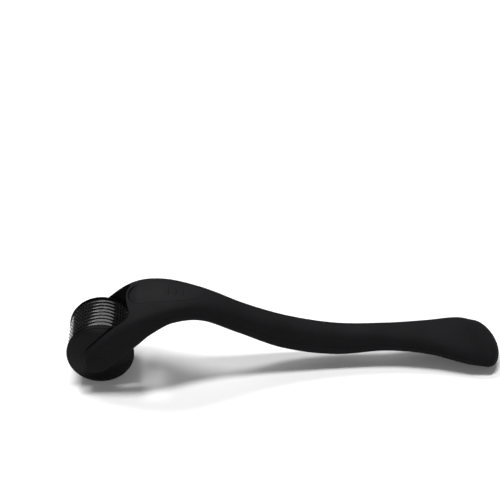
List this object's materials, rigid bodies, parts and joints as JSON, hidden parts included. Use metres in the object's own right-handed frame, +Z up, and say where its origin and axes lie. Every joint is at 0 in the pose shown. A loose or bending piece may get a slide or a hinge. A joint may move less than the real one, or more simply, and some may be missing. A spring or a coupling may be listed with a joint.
{
  "type": "derma roller",
  "caption": "Disc-type derma roller: a cylinder of needle discs that spins freely on an axle held in the fork of a long S-curved handle.",
  "frame": {"origin": "on the surface the roller and the tail stand on, under the middle of the whole object", "axes": "+X from the roller towards the tail of the handle, +Y along the axle towards the back arm, +Z up"},
  "size_m": [0.1369, 0.027, 0.0277],
  "materials": {
    "soft_black": "moulded ABS with a soft satin-matte surface",
    "inlay_black": "satin",
    "gloss_black": "polished",
    "satin_black": "satin",
    "needle_steel": "etched thin sheet",
    "pin_steel": "ground"
  },
  "bodies": {
    "handle": {"upper_shell": "soft_black", "lower_shell": "soft_black", "thumb_inlay": "inlay_black", "axle_pin": "pin_steel", "axle_cap_front": "soft_black", "axle_cap_back": "soft_black"},
    "roller": {"roller_core": "satin_black", "needle_disc_1": "needle_steel", "needle_disc_2": "needle_steel", "needle_disc_3": "needle_steel", "needle_disc_4": "needle_steel", "needle_disc_5": "needle_steel", "needle_disc_6": "needle_steel", "needle_disc_7": "needle_steel", "needle_disc_8": "needle_steel", "needle_disc_9": "needle_steel", "spacer_ring_1": "gloss_black", "spacer_ring_2": "gloss_black", "spacer_ring_3": "gloss_black", "spacer_ring_4": "gloss_black", "spacer_ring_5": "gloss_black", "spacer_ring_6": "gloss_black", "spacer_ring_7": "gloss_black", "spacer_ring_8": "gloss_black", "end_disc_front": "satin_black", "end_disc_back": "satin_black"}
  },
  "joints": [
    {"name": "roller_spin", "type": "hinge", "parent": "handle", "child": "roller", "pos_m": [-0.05799, 0, 0.0104], "axis": [0, 1, 0], "continuous": true}
  ]
}
